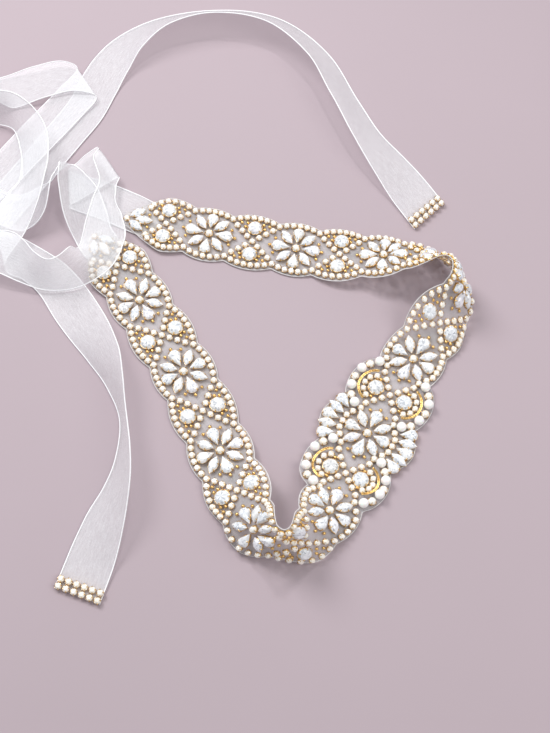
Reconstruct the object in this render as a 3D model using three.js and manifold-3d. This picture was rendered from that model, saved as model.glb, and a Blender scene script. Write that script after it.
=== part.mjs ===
// Bridal sash laid out on a table: a jewelled band in three runs with two standing bends,
// and a tail of sheer ribbon from each end, looped in a heap at one side.
// Millimetres, +Z up. The part rests on z = 0.

import * as THREE from 'three';
import { mergeVertices } from 'three/addons/utils/BufferGeometryUtils.js';
import Module from 'manifold-3d';

const wasm = await Module();
wasm.setup();

// Driving dimensions of the jewelled band
const REPEAT = 52;                 // flower to flower along the band
const FLOWERS = 11;
const CENTRE_FLOWER = 6;
const BACKING_WALL = 1.2;
const FLOWER_LOBE = 15.2;          // middle of the stone border from the band's centre line, at a flower
const KNOT_LOBE = 15.8;            // the same at a pair of round stones
const VALLEY = 12.6;               // the same between two lobes
const BORDER_MARGIN = 2.5;         // backing outside the middle of the border
const BORDER_RISE = 2.2;
const BORDER_HALF = 1.7;
const BORDER_END = 10;             // the border runs out this far past the last pair of round stones
const TIP_REACH = 26;              // last pair of round stones to the end of the band
const TIP_TAPER = { length: 28, power: 1.3 };
const CENTRE_KNOT_REACH = 24.6;    // half width of the pearled lobes beside the centre flower
const CENTRE_KNOT_LENGTH = 17;
const CENTRE_FAN_REACH = 27.6;     // half width of the fan at the centre flower
const CENTRE_FAN_LENGTH = 15;

// Driving dimensions of the stones
const SEAM = 0.3;
const STONE_BASE = BACKING_WALL + 0.65;
const STONE_HEIGHT = 3;
const FOOT_STEP = 0.1;             // joined bodies start this far apart in height
const STONE_TABLE = 0.55;          // flat top of a cut stone, as a share of its outline
const PETALS = 8;
const PETAL_TIP = 2.9;             // inner tip of a petal from the middle of its flower
const PEAR = { length: 10.2, width: 6.6 };
const NAVETTE = { length: 10, width: 5 };
const FLOWER_EYE = 3.7;            // radius of the set stone in the middle of a flower
const BRIDGE = { half: 1.2, rise: 0.9 };
const ROUND_STONE = 4.2;           // radius
const ROUND_OFFSET = 8.4;          // from the band's centre line
const CROSS = { along: 8.6, over: 10, half: 1.7, rise: 1.9, top: 0.8, parts: 6 };
const PEARL = 2.7;                 // radius
const BORDER_CRYSTAL = 2.4;        // radius
const PEARL_ARC = 13.2;            // from the middle of the round stone
const PEARL_COUNT = 7;
const PEARL_SPREAD = 64;           // degrees each side of straight out
const GOLD_ARC = { radius: 9.4, spread: 62, half: 0.8, rise: 1.6, top: 0.6, parts: 9 };
const FAN_RADIUS = 22.6;
const FAN_STONES = 5;
const FAN_STEP = 13.5;             // degrees
const FAN_RAIL = { radius: 19, half: 0.9, rise: 0.8, parts: 6 };

// Driving dimensions of the ribbon
const RIBBON_WIDTH = 25;
const RIBBON_WALL = 1;
const RIBBON_STEP = 6;
const RIBBON_SEAM = 0.6;
const TRIM = { stones: 6, pitch: 4.1, half: 2.1, waist: 1.3, rise: 2.2, top: 0.75, margin: 0.6 };

const COLOURS = {
  backing: { color: 0xe4e0e4, roughness: 0.7, metalness: 0 },
  organza: { color: 0xeceaf0, roughness: 0.5, metalness: 0 },
  crystal: { color: 0xdfe6f0, roughness: 0.1, metalness: 0.1 },
  pearl: { color: 0xf3eee4, roughness: 0.25, metalness: 0 },
  gold: { color: 0xc89a4c, roughness: 0.3, metalness: 0.9 },
};

// Route of the band, tip to tip. tilt raises the inner edge, the
// outer one resting at its reach from the centre line; lift clears the ribbon sewn under a tip.
const BAND_ROWS = [
  { at: 'upper tip', x: -88.5, y: 94.6, tilt: 0, lift: 1.5 },
  { at: 'upper end knot', x: -61, y: 90.2, tilt: 0, lift: 1.4 },
  { at: 'flower 1', x: -36.4, y: 84.2, tilt: 0 },
  { at: 'flower 2', x: 14.4, y: 74.2, tilt: 0 },
  { at: 'knot 3', x: 38.4, y: 69.6, tilt: 6 },
  { at: 'flower 3', x: 62.9, y: 66.2, tilt: 20 },
  { at: 'knot 4', x: 86, y: 62, tilt: 46 },
  { at: 'right bend', x: 99.6, y: 53.8, tilt: 74 },
  { at: 'flower 4', x: 103.4, y: 38.8, tilt: 60 },
  { at: 'knot 5', x: 91, y: 22, tilt: 24 },
  { at: 'flower 5', x: 76.4, y: 2.6, tilt: 0 },
  { at: 'centre flower', x: 50.1, y: -40.4, tilt: 0 },
  { at: 'knot 7', x: 38.2, y: -62.3, tilt: 0, reach: 27 },
  { at: 'flower 7', x: 29, y: -83.2, tilt: 18 },
  { at: 'knot 8', x: 16, y: -102, tilt: 54 },
  { at: 'lower bend', x: 4.6, y: -106.2, tilt: 80 },
  { at: 'flower 8', x: -9.4, y: -97.4, tilt: 46 },
  { at: 'knot 9', x: -18.4, y: -77, tilt: 20 },
  { at: 'flower 9', x: -27.4, y: -55.6, tilt: 6 },
  { at: 'knot 10', x: -37.6, y: -31.6, tilt: 0 },
  { at: 'flower 10', x: -48.5, y: -8, tilt: 0 },
  { at: 'flower 11', x: -75.2, y: 37.2, tilt: 0 },
  { at: 'left end knot', x: -89.8, y: 60.3, tilt: 0, lift: 1.7 },
  { at: 'left tip', x: -108, y: 85, tilt: 0, lift: 2 },
];
const CENTRE_ROW = BAND_ROWS.findIndex((row) => row.at === 'centre flower');

// Backing stretches, each ending between a flower and a knot, with finer sections where the band twists
const BACKING_STRETCHES = [
  { name: 'backing_top_run', end: 2.75, step: 5.2, columns: 1 },
  { name: 'backing_right_bend', end: 4.75, step: 2.6, columns: 4 },
  { name: 'backing_centre_run', end: 6.86, step: 4, columns: 2 },
  { name: 'backing_lower_bend', end: 8.75, step: 2.6, columns: 4 },
  { name: 'backing_left_run', end: Infinity, step: 5.2, columns: 1 },
];

// Tails of ribbon. low is the height of the lower selvedge's middle line, across the plan direction
// from one selvedge to the other in degrees, tilt the rise of the second selvedge (minus: the first).
const UPPER_TAIL = [
  { stretch: 'upper_under_tip', x: -69, y: 92, low: 0.5, across: -96, width: 24 },
  { x: -87, y: 101, low: 0.5, across: -102 },
  { x: -104, y: 109, low: 0.5, across: -100 },
  { x: -117, y: 113.5, low: 0.5, across: -92 },
  { x: -123.5, y: 116, low: 1.7, across: -86 },
  { stretch: 'upper_fold', x: -117.5, y: 120.5, low: 2.9, across: -79 },
  { x: -109, y: 128, low: 2.9, across: -67 },
  { x: -100, y: 133, low: 4.2, across: -58 },
  { stretch: 'upper_over_tip', x: -101.5, y: 125, low: 5.6, across: -56, tilt: -8 },
  { x: -98.5, y: 109, low: 5.4, across: -44, tilt: -44, width: 16 },
  { x: -98, y: 96.5, low: 6, across: -12, tilt: -36, width: 20 },
  { x: -100, y: 73.5, low: 8.2, across: 8, tilt: -6 },
  { stretch: 'upper_turn', x: -106.5, y: 60, low: 7.8, across: -24, tilt: -34 },
  { x: -116, y: 53, low: 3.8, across: -36, tilt: -58 },
  { x: -125, y: 50.5, low: 2.4, across: -64, tilt: -72 },
  { x: -134.5, y: 53, low: 3, across: -92, tilt: -64 },
  { x: -143.5, y: 59, low: 5.2, across: -102, tilt: -46 },
  { x: -153.5, y: 66, low: 7.6, across: -102, tilt: -20 },
  { x: -165.5, y: 71.5, low: 8.8, across: -92 },
  { x: -178, y: 78, low: 4.7, across: -74 },
  { stretch: 'upper_floor_run', x: -171.5, y: 88, low: 0.5, across: -48 },
  { x: -152, y: 119, low: 0.5, across: -43 },
  { x: -128.5, y: 156, low: 0.5, across: -44 },
  { x: -117, y: 175, low: 0.5, across: -37 },
  { x: -110.5, y: 192, low: 0.5, across: -28 },
  { stretch: 'upper_arc', x: -103, y: 208, low: 0.5, across: -34, tilt: 6 },
  { x: -92, y: 222.5, low: 0.5, across: -46, tilt: 22 },
  { x: -70, y: 237, low: 0.5, across: -66, tilt: 38 },
  { x: -38, y: 244, low: 0.5, across: -88, tilt: 46 },
  { x: 0, y: 236.5, low: 0.5, across: -112, tilt: 44 },
  { x: 27, y: 210, low: 0.5, across: -138, tilt: 42 },
  { stretch: 'upper_end_run', x: 43, y: 177.5, low: 0.5, across: -156, tilt: 40 },
  { x: 55, y: 152.5, low: 0.5, across: -152, tilt: 34 },
  { x: 69, y: 131.5, low: 0.5, across: -146, tilt: 18 },
  { x: 82, y: 112, low: 0.5, across: -140, tilt: 2 },
  { x: 91.5, y: 97.2, low: 0.5, across: -137 },
];
const LEFT_TAIL = [
  { stretch: 'left_under_tip', x: -101, y: 75.5, low: 0.6, across: 40, width: 22 },
  { x: -106.5, y: 84, low: 0.9, across: 27, width: 22 },
  { x: -112, y: 98, low: 3.2, across: 13, tilt: -14 },
  { x: -116, y: 112, low: 4.6, across: 10, tilt: -32 },
  { x: -120.5, y: 123.5, low: 4.4, across: 20, tilt: -54, width: 21 },
  { stretch: 'left_pinch', x: -124.5, y: 129, low: 3.4, across: 62, tilt: -58, width: 14 },
  { x: -128.5, y: 125.5, low: 3, across: 104, tilt: -62, width: 15 },
  { x: -131.5, y: 117.5, low: 3, across: 118, tilt: -62, width: 20 },
  { x: -138, y: 104.5, low: 3, across: 110, tilt: -22 },
  { x: -145.5, y: 98.5, low: 3.6, across: 106, tilt: -6 },
  { x: -153, y: 97.5, low: 4, across: 102 },
  { x: -166, y: 103.5, low: 4.4, across: 98 },
  { x: -176, y: 110.5, low: 3.25, across: 102 },
  { stretch: 'left_diagonal', x: -171, y: 117, low: 2.1, across: 122 },
  { x: -158, y: 135, low: 2.1, across: 132 },
  { x: -140, y: 160, low: 2.1, across: 131 },
  { x: -127, y: 178.5, low: 2.1, across: 130 },
  { x: -117.5, y: 193, low: 3.3, across: 121 },
  { stretch: 'left_return', x: -129, y: 197, low: 4.5, across: 114 },
  { x: -146.5, y: 193, low: 3.6, across: 112 },
  { x: -165, y: 187, low: 1.2, across: 113 },
  { x: -180, y: 183, low: 0.7, across: 128, tilt: -34 },
  { stretch: 'left_loop', x: -187, y: 175, low: 0.7, across: 178, tilt: -66 },
  { x: -180.5, y: 166.8, low: 0.8, across: 242, tilt: -72 },
  { x: -168, y: 166.4, low: 1.2, across: 262, tilt: -70 },
  { x: -157.5, y: 162, low: 3.2, across: 236, tilt: -64 },
  { x: -149, y: 152.5, low: 3.6, across: 204, tilt: -49 },
  { x: -144.8, y: 143, low: 3.8, across: 186, tilt: -40 },
  { x: -142.8, y: 131, low: 4.2, across: 180, tilt: -40 },
  { x: -143, y: 118, low: 5.4, across: 172, tilt: -40 },
  { x: -148, y: 103, low: 6.4, across: 152, tilt: -24 },
  { x: -156, y: 87.5, low: 6.4, across: 140, tilt: -4 },
  { x: -161.5, y: 76.5, low: 4.2, across: 116 },
  { stretch: 'left_slope', x: -153.5, y: 71, low: 2, across: 84 },
  { x: -140, y: 64, low: 0.8, across: 60, width: 22 },
  { x: -128, y: 54.5, low: 0.5, across: 48, width: 23 },
  { x: -112, y: 32, low: 0.5, across: 24, tilt: 8 },
  { x: -95, y: 3.5, low: 0.5, across: 9, tilt: 42 },
  { x: -87.5, y: -13.5, low: 0.5, across: 3, tilt: 62, width: 22 },
  { stretch: 'left_end_run', x: -82.2, y: -32, low: 0.5, across: 0, tilt: 74, width: 18 },
  { x: -81, y: -55.5, low: 0.5, across: -4, tilt: 64, width: 23 },
  { x: -83, y: -71.5, low: 0.5, across: -7, tilt: 50 },
  { x: -88.5, y: -88.8, low: 0.5, across: -11, tilt: 26 },
  { x: -96.5, y: -114, low: 0.5, across: -18, tilt: 2 },
  { x: -101.4, y: -129, low: 0.5, across: -20.5 },
];

const rad = THREE.MathUtils.degToRad;
const Z_AXIS = new THREE.Vector3(0, 0, 1);

// A smooth run through one column of a table, flat where neighbouring rows are equal
function easedColumn(values) {
  const steps = values.slice(1).map((value, i) => value - values[i]);
  const slopes = values.map((_, i) => {
    if (i === 0) return steps[0];
    if (i === values.length - 1) return steps[i - 1];
    const product = steps[i - 1] * steps[i];
    return product <= 0 ? 0 : 2 * product / (steps[i - 1] + steps[i]);
  });
  return (t) => {
    const i = Math.min(Math.max(Math.floor(t), 0), values.length - 2);
    const f = t - i;
    const rise = (3 - 2 * f) * f * f * steps[i];
    const bend = f * (1 - f) * ((1 - f) * slopes[i] - f * slopes[i + 1]);
    return values[i] + rise + bend;
  };
}

// A route through table rows, measured along its own length
function makeRoute(rows, heightAt, lineAcross) {
  const SAMPLES_PER_ROW = 24;
  const NUDGE = 0.02;
  const last = rows.length - 1;
  const points = rows.map((row) => new THREE.Vector3(row.x, row.y, 0));
  const plan = new THREE.CatmullRomCurve3(points, false, 'centripetal');
  const centre = (t) => {
    const point = plan.getPoint(Math.min(Math.max(t / last, 0), 1));
    point.z = heightAt(t);
    return point;
  };
  const lengths = [0];
  let before = centre(0);
  for (let i = 1; i <= last * SAMPLES_PER_ROW; i += 1) {
    const point = centre(i / SAMPLES_PER_ROW);
    lengths.push(lengths[i - 1] + point.distanceTo(before));
    before = point;
  }
  const length = lengths[lengths.length - 1];
  const lengthAtRow = (row) => lengths[row * SAMPLES_PER_ROW];
  const rowAt = (s) => {
    let i = lengths.findIndex((value) => value >= s);
    if (i < 0) i = lengths.length - 1;
    if (i === 0) i = 1;
    const share = (s - lengths[i - 1]) / (lengths[i] - lengths[i - 1]);
    return (i - 1 + share) / SAMPLES_PER_ROW;
  };
  const frame = (s) => {
    const t = Math.min(Math.max(rowAt(s), 0), last);
    const ahead = centre(Math.min(t + NUDGE, last));
    const along = ahead.sub(centre(Math.max(t - NUDGE, 0))).normalize();
    const across = lineAcross(t, along);
    const normal = new THREE.Vector3().crossVectors(across, along).normalize();
    return { t, point: centre(t), along, across, normal };
  };
  const place = (s, v, h) => {
    const { point, across, normal } = frame(s);
    return point.addScaledVector(across, v).addScaledVector(normal, h);
  };
  return { length, lengthAtRow, frame, place };
}

function makeBandRoute() {
  const tilt = easedColumn(BAND_ROWS.map((row) => rad(row.tilt)));
  const lift = easedColumn(BAND_ROWS.map((row) => row.lift ?? 0));
  const reach = easedColumn(BAND_ROWS.map((row) => row.reach ?? KNOT_LOBE + BORDER_MARGIN));
  const heightAt = (t) => reach(t) * Math.sin(tilt(t)) + lift(t);
  const lineAcross = (t, along) => {
    const level = new THREE.Vector3(along.y, -along.x, 0).normalize();
    return level.multiplyScalar(Math.cos(tilt(t))).addScaledVector(Z_AXIS, Math.sin(tilt(t)));
  };
  return makeRoute(BAND_ROWS, heightAt, lineAcross);
}

function makeRibbonRoute(rows) {
  const across = easedColumn(rows.map((row) => rad(row.across)));
  const tilt = easedColumn(rows.map((row) => rad(row.tilt ?? 0)));
  const low = easedColumn(rows.map((row) => row.low));
  const width = easedColumn(rows.map((row) => row.width ?? RIBBON_WIDTH));
  const heightAt = (t) => low(t) + width(t) / 2 * Math.abs(Math.sin(tilt(t)));
  const lineAcross = (t) => new THREE.Vector3(
    Math.cos(across(t)) * Math.cos(tilt(t)),
    Math.sin(across(t)) * Math.cos(tilt(t)),
    Math.sin(tilt(t)),
  );
  return { ...makeRoute(rows, heightAt, lineAcross), width };
}

// Closed meshes from points and triangles, with the faces turned outward
function closedGeometry(points, triangles) {
  const corners = triangles.map((triangle) => triangle.map((i) => points[i]));
  const volume = corners.reduce((sum, [a, b, c]) => sum + a.dot(b.clone().cross(c)), 0);
  const turned = volume < 0 ? triangles.map(([a, b, c]) => [a, c, b]) : triangles;
  const geometry = new THREE.BufferGeometry();
  geometry.setAttribute('position', new THREE.Float32BufferAttribute(points.flatMap((p) => p.toArray()), 3));
  geometry.setIndex(turned.flat());
  return geometry;
}

// A wall through sections of equal point count, with its two ends capped. Its two faces are split
// along the same diagonals, so that it keeps its thickness where it twists.
function sweptWall(sections, profile) {
  const count = profile.length;
  const triangles = [];
  for (let i = 0; i + 1 < sections.length; i += 1) {
    for (let j = 0; j < count; j += 1) {
      const k = (j + 1) % count;
      const [a, b] = [i * count + j, i * count + k];
      const [c, d] = [a + count, b + count];
      if (profile[k].x < profile[j].x) triangles.push([a, b, c], [b, d, c]);
      else triangles.push([a, b, d], [a, d, c]);
    }
  }
  const cap = THREE.ShapeUtils.triangulateShape(profile, []);
  const ends = (sections.length - 1) * count;
  cap.forEach(([a, b, c]) => triangles.push([a, c, b], [ends + a, ends + b, ends + c]));
  return closedGeometry(sections.flat(), triangles);
}

// A low body on a strip: two chains of [along, across] points at each level, from the foot to the top
function bodyOnStrip(route, side, levels, chainsAt) {
  const points = [];
  const rings = levels.map(({ h, scale }) => {
    const [upper, lower] = chainsAt(scale);
    const put = ([s, v]) => points.push(route.place(s, v, side * h)) - 1;
    const top = upper.map(put);
    const bottom = lower.map((point, i) => {
      const same = point[0] === upper[i][0] && point[1] === upper[i][1];
      return same ? top[i] : put(point);
    });
    return { top, bottom };
  });
  const triangles = [];
  const quad = (a, b, c, d) => {
    if (a !== b && b !== c && a !== c) triangles.push([a, b, c]);
    if (a !== c && c !== d && a !== d) triangles.push([a, c, d]);
  };
  const loop = ({ top, bottom }) => {
    const all = [...top, ...bottom.slice().reverse()];
    return all.filter((point, i) => point !== all[(i + 1) % all.length]);
  };
  for (let i = 0; i + 1 < rings.length; i += 1) {
    const [a, b] = [loop(rings[i]), loop(rings[i + 1])];
    a.forEach((_, j) => {
      const k = (j + 1) % a.length;
      quad(a[j], a[k], b[k], b[j]);
    });
  }
  const capRing = ({ top, bottom }, flip) => {
    for (let j = 0; j + 1 < top.length; j += 1) {
      if (flip) quad(top[j], bottom[j], bottom[j + 1], top[j + 1]);
      else quad(top[j], top[j + 1], bottom[j + 1], bottom[j]);
    }
  };
  capRing(rings[0], true);
  capRing(rings[rings.length - 1], false);
  return closedGeometry(points, triangles);
}

// Outlines of cut stones: stations along the length, each with its half width
const navetteStations = ({ length, width }) => [
  [-length / 2, 0], [-length / 6, width * 0.45], [length / 6, width * 0.45], [length / 2, 0],
];
const pearStations = ({ length, width }) => [
  [-length / 2, 0], [-length / 8, width * 0.34], [length / 4, width / 2], [length / 2, width / 5],
];
const octagonStations = (radius) => [
  [-radius, radius * 0.41], [-radius * 0.41, radius], [radius * 0.41, radius], [radius, radius * 0.41],
];
const hexagonStations = (radius) => [
  [-radius, 0], [-radius / 2, radius * 0.87], [radius / 2, radius * 0.87], [radius, 0],
];
const barStations = (length, half, parts) => Array.from({ length: parts + 1 }, (_, i) => [
  length * (i / parts - 0.5), half,
]);

// Chains of a station outline set at a place on the strip and turned by an angle
function chainsFrom(stations, [s, v], angle) {
  const [cos, sin] = [Math.cos(angle), Math.sin(angle)];
  const put = (a, b) => [s + a * cos - b * sin, v + a * sin + b * cos];
  return (scale) => [1, -1].map((edge) => stations.map(([at, half]) => {
    const b = half === 0 ? 0 : edge * half * scale;
    return put(at * scale, b);
  }));
}

const plateLevels = (base, rise, top = 1) => [{ h: base, scale: 1 }, { h: base + rise, scale: top }];
const pearlLevels = (base, radius) => [
  { h: base, scale: 0.7 }, { h: base + radius * 0.9, scale: 1 }, { h: base + radius * 1.9, scale: 0.45 },
];

// Chains of an arc of even width round a point of the strip; angles from straight out along `out`
function arcChains([s, v], { radius, half, spread, parts }, out) {
  return (scale) => [1, -1].map((edge) => Array.from({ length: parts + 1 }, (_, i) => {
    const angle = rad(spread) * (2 * i / parts - 1);
    const r = radius + edge * half * scale;
    return [s + r * Math.sin(angle), v + out * r * Math.cos(angle)];
  }));
}

// Several touching bodies joined into one
function joinBodies(geometries) {
  const solids = geometries.map((geometry) => {
    const merged = mergeVertices(geometry);
    return new wasm.Manifold(new wasm.Mesh({
      numProp: 3,
      vertProperties: new Float32Array(merged.attributes.position.array),
      triVerts: new Uint32Array(merged.index.array),
    }));
  });
  const mesh = solids.reduce((sum, solid) => sum.add(solid)).getMesh();
  const geometry = new THREE.BufferGeometry();
  geometry.setAttribute('position', new THREE.Float32BufferAttribute(mesh.vertProperties, 3));
  geometry.setIndex(Array.from(mesh.triVerts));
  return geometry;
}

const sash = new THREE.Group();

function addPiece(name, geometry, finish) {
  geometry.computeVertexNormals();
  const mesh = new THREE.Mesh(geometry, new THREE.MeshStandardMaterial(COLOURS[finish]));
  mesh.name = name;
  sash.add(mesh);
}

// The band's own places
const band = makeBandRoute();
const centreAt = band.lengthAtRow(CENTRE_ROW);
const repeatAt = (number) => centreAt + (number - CENTRE_FLOWER) * REPEAT;
const KNOTS = FLOWERS + 1;
const knotAt = (number) => repeatAt(number - 0.5);
const bandStart = knotAt(1) - TIP_REACH;
const bandEnd = knotAt(KNOTS) + TIP_REACH;
const besideCentre = (number) => Math.abs(number - 0.5 - CENTRE_FLOWER) < 1;

const pastLastKnot = (s) => Math.max(knotAt(1) - s, s - knotAt(KNOTS), 0);

// Distance of the stone border from the centre line
function borderAt(s) {
  const quarter = REPEAT / 4;
  const lobes = [];
  for (let i = 1; i <= FLOWERS; i += 1) lobes.push([repeatAt(i), FLOWER_LOBE]);
  for (let i = 1; i <= KNOTS; i += 1) lobes.push([knotAt(i), KNOT_LOBE]);
  const heights = lobes.map(([at, crest]) => crest - (crest - VALLEY) * ((s - at) / quarter) ** 2);
  const past = pastLastKnot(s);
  if (past === 0) return Math.max(...heights);
  const outer = KNOT_LOBE + BORDER_MARGIN;
  const edge = outer * (1 - (past / TIP_TAPER.length) ** TIP_TAPER.power);
  return Math.max(edge - BORDER_MARGIN, BORDER_HALF + SEAM);
}

// Half width of the backing, wider under the pearled lobes and the fans of the centre
function backingReach(s) {
  const bulge = (at, reach, length) => {
    const share = Math.abs(s - at) / length;
    return share >= 1 ? 0 : VALLEY + (reach - VALLEY) * Math.sqrt(1 - share ** 2);
  };
  return Math.max(
    borderAt(s) + BORDER_MARGIN,
    bulge(knotAt(CENTRE_FLOWER), CENTRE_KNOT_REACH, CENTRE_KNOT_LENGTH),
    bulge(knotAt(CENTRE_FLOWER + 1), CENTRE_KNOT_REACH, CENTRE_KNOT_LENGTH),
    bulge(centreAt, CENTRE_FAN_REACH, CENTRE_FAN_LENGTH),
  );
}

// The border stops short of the pearled lobes: 0 inside them, 1 clear of them
function clearOfPearls(s) {
  const fromKnots = [0, 1].map((step) => Math.abs(s - knotAt(CENTRE_FLOWER + step)));
  return Math.min((Math.min(...fromKnots) - CENTRE_KNOT_LENGTH) / BORDER_HALF, 1);
}

// Section of the backing with the raised stone border along both edges
function backingProfile(s, columns) {
  const edge = backingReach(s);
  const border = borderAt(s);
  const rise = BORDER_RISE * Math.max(Math.min(1 - pastLastKnot(s) / BORDER_END, clearOfPearls(s)), 0);
  const inner = border - BORDER_HALF;
  const share = (i) => 2 * i / columns - 1;
  const between = Array.from({ length: columns - 1 }, (_, i) => share(i + 1));
  const half = [
    [edge, BACKING_WALL],
    [border + BORDER_HALF, BACKING_WALL],
    [border, BACKING_WALL + rise],
    [inner, BACKING_WALL],
  ];
  const mirrored = half.map(([v, h]) => [-v, h]).reverse();
  const under = [-1, ...between, 1].map((k) => [k * edge, 0]);
  const middle = between.map((k) => [-k * inner, BACKING_WALL]);
  return [...under, ...half, ...middle, ...mirrored].map(([v, h]) => new THREE.Vector2(v, h));
}

function evenPlaces(from, to, step) {
  const parts = Math.max(Math.round((to - from) / step), 1);
  return Array.from({ length: parts + 1 }, (_, i) => from + (to - from) * i / parts);
}

function addBacking() {
  let from = bandStart;
  BACKING_STRETCHES.forEach(({ name, end, step, columns }) => {
    const to = Math.min(repeatAt(end), bandEnd);
    const profiles = evenPlaces(from, to, step).map((s) => [s, backingProfile(s, columns)]);
    const sections = profiles.map(([s, profile]) => profile.map(({ x, y }) => band.place(s, x, y)));
    addPiece(name, sweptWall(sections, profiles[0][1]), 'backing');
    from = to + SEAM;
  });
}

const onBand = (levels, chains) => bodyOnStrip(band, 1, levels, chains);
const cutStone = (stations, place, angle) => onBand(
  plateLevels(STONE_BASE, STONE_HEIGHT, STONE_TABLE),
  chainsFrom(stations, place, angle),
);

function flowerBody(at) {
  const petals = Array.from({ length: PETALS }, (_, i) => {
    const angle = i * 2 * Math.PI / PETALS;
    const shape = i % 2 === 0 ? PEAR : NAVETTE;
    const stations = i % 2 === 0 ? pearStations(shape) : navetteStations(shape);
    const radius = PETAL_TIP + shape.length / 2;
    return cutStone(stations, [at + radius * Math.cos(angle), radius * Math.sin(angle)], angle);
  });
  const eye = onBand(
    plateLevels(STONE_BASE - FOOT_STEP, STONE_HEIGHT, STONE_TABLE),
    chainsFrom(octagonStations(FLOWER_EYE), [at, 0], 0),
  );
  return joinBodies([eye, ...petals]);
}

// Two round stones in the notches of a crossing of stone chain
function knotBody(at) {
  const { along, over, half, rise, top, parts } = CROSS;
  const angle = Math.atan2(over, along);
  const length = 2 * Math.hypot(along, over);
  const bars = [angle, -angle].map((turn) => onBand(
    plateLevels(STONE_BASE + FOOT_STEP, rise, top),
    chainsFrom(barStations(length, half, parts), [at, 0], turn),
  ));
  const rounds = [1, -1].map((out) => cutStone(
    octagonStations(ROUND_STONE),
    [at, out * ROUND_OFFSET],
    0,
  ));
  return joinBodies([...bars, ...rounds]);
}

// Leaf of three navettes that ends the band, opening toward it
function leafBody(knot, inward) {
  const SIDE = { back: 17.4, over: 4.3, angle: 32 };
  const MIDDLE_BACK = 13.2;
  const BRIDGE_BACK = 17;
  const middle = cutStone(navetteStations(NAVETTE), [knot - inward * MIDDLE_BACK, 0], 0);
  const sides = [1, -1].map((edge) => cutStone(
    navetteStations(NAVETTE),
    [knot - inward * SIDE.back, edge * SIDE.over],
    inward * edge * rad(SIDE.angle),
  ));
  const bridge = onBand(
    plateLevels(STONE_BASE + FOOT_STEP, BRIDGE.rise),
    chainsFrom(barStations(2 * SIDE.over, BRIDGE.half, 3), [knot - inward * BRIDGE_BACK, 0], Math.PI / 2),
  );
  return joinBodies([bridge, middle, ...sides]);
}

// Fan of pears and navettes that widens the centre flower
function fanBody(out) {
  const half = (FAN_STONES - 1) / 2;
  const stones = Array.from({ length: FAN_STONES }, (_, i) => {
    const lean = rad(FAN_STEP) * (i - half);
    const stations = i % 2 === 0 ? pearStations(PEAR) : navetteStations(NAVETTE);
    const place = [centreAt + FAN_RADIUS * Math.sin(lean), out * FAN_RADIUS * Math.cos(lean)];
    return cutStone(stations, place, out * (Math.PI / 2 - lean));
  });
  const rail = onBand(
    plateLevels(STONE_BASE + FOOT_STEP, FAN_RAIL.rise),
    arcChains([centreAt, 0], { ...FAN_RAIL, spread: FAN_STEP * half }, out),
  );
  return joinBodies([rail, ...stones]);
}

// Pearls and crystals in turn, strung round the outside of a round stone of the centre
function pearlBody(knot, out) {
  const middle = [knot, out * ROUND_OFFSET];
  return joinBodies(Array.from({ length: PEARL_COUNT }, (_, i) => {
    const angle = rad(PEARL_SPREAD) * (2 * i / (PEARL_COUNT - 1) - 1);
    const radius = i % 2 === 0 ? PEARL : BORDER_CRYSTAL;
    const place = [middle[0] + PEARL_ARC * Math.sin(angle), middle[1] + out * PEARL_ARC * Math.cos(angle)];
    return onBand(pearlLevels(STONE_BASE, radius), chainsFrom(hexagonStations(radius), place, -out * angle));
  }));
}

function goldArcBody(knot, out) {
  return onBand(
    plateLevels(STONE_BASE, GOLD_ARC.rise, GOLD_ARC.top),
    arcChains([knot, out * ROUND_OFFSET], GOLD_ARC, out),
  );
}

function addStones() {
  const label = (number) => String(number).padStart(2, '0');
  const sides = [['left', -1], ['right', 1]];
  for (let i = 1; i <= FLOWERS; i += 1) addPiece(`flower_${label(i)}`, flowerBody(repeatAt(i)), 'crystal');
  for (let i = 1; i <= KNOTS; i += 1) {
    addPiece(`knot_${label(i)}`, knotBody(knotAt(i)), 'crystal');
    if (!besideCentre(i)) continue;
    sides.forEach(([side, out]) => {
      addPiece(`pearls_${label(i)}_${side}`, pearlBody(knotAt(i), out), 'pearl');
      addPiece(`gold_arc_${label(i)}_${side}`, goldArcBody(knotAt(i), out), 'gold');
    });
  }
  sides.forEach(([side, out]) => addPiece(`centre_fan_${side}`, fanBody(out), 'crystal'));
  addPiece('leaf_upper', leafBody(knotAt(1), 1), 'crystal');
  addPiece('leaf_left', leafBody(knotAt(KNOTS), -1), 'crystal');
}

// Two touching rows of stones across the end of a tail
function trimBody(route) {
  const side = Math.sign(route.frame(route.length).normal.z);
  const { stones, pitch, half, waist, rise, top, margin } = TRIM;
  const base = RIBBON_WALL / 2 + SEAM;
  const beads = Array.from({ length: 2 * stones + 1 }, (_, i) => [
    (i - stones) * pitch / 2, i % 2 === 0 ? waist : half,
  ]);
  return joinBodies([1, 3].map((row) => bodyOnStrip(
    route, side, plateLevels(base, rise, top),
    chainsFrom(beads, [route.length - margin - row * pitch / 2, 0], Math.PI / 2),
  )));
}

function addTail(rows, trimName) {
  const route = makeRibbonRoute(rows);
  const profile = [[-1, -1], [1, -1], [1, 1], [-1, 1]].map(([v, h]) => new THREE.Vector2(v, h));
  const starts = rows.map((row, i) => [row.stretch, i]).filter(([name]) => name);
  starts.forEach(([name, row], i) => {
    const from = route.lengthAtRow(row);
    const to = i + 1 < starts.length ? route.lengthAtRow(starts[i + 1][1]) - RIBBON_SEAM : route.length;
    const sections = evenPlaces(from, to, RIBBON_STEP).map((s) => {
      const half = route.width(route.frame(s).t) / 2;
      return profile.map(({ x, y }) => route.place(s, x * half, y * RIBBON_WALL / 2));
    });
    addPiece(`ribbon_${name}`, sweptWall(sections, profile), 'organza');
  });
  addPiece(trimName, trimBody(route), 'crystal');
}

addBacking();
addStones();
addTail(UPPER_TAIL, 'trim_upper');
addTail(LEFT_TAIL, 'trim_left');

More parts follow.
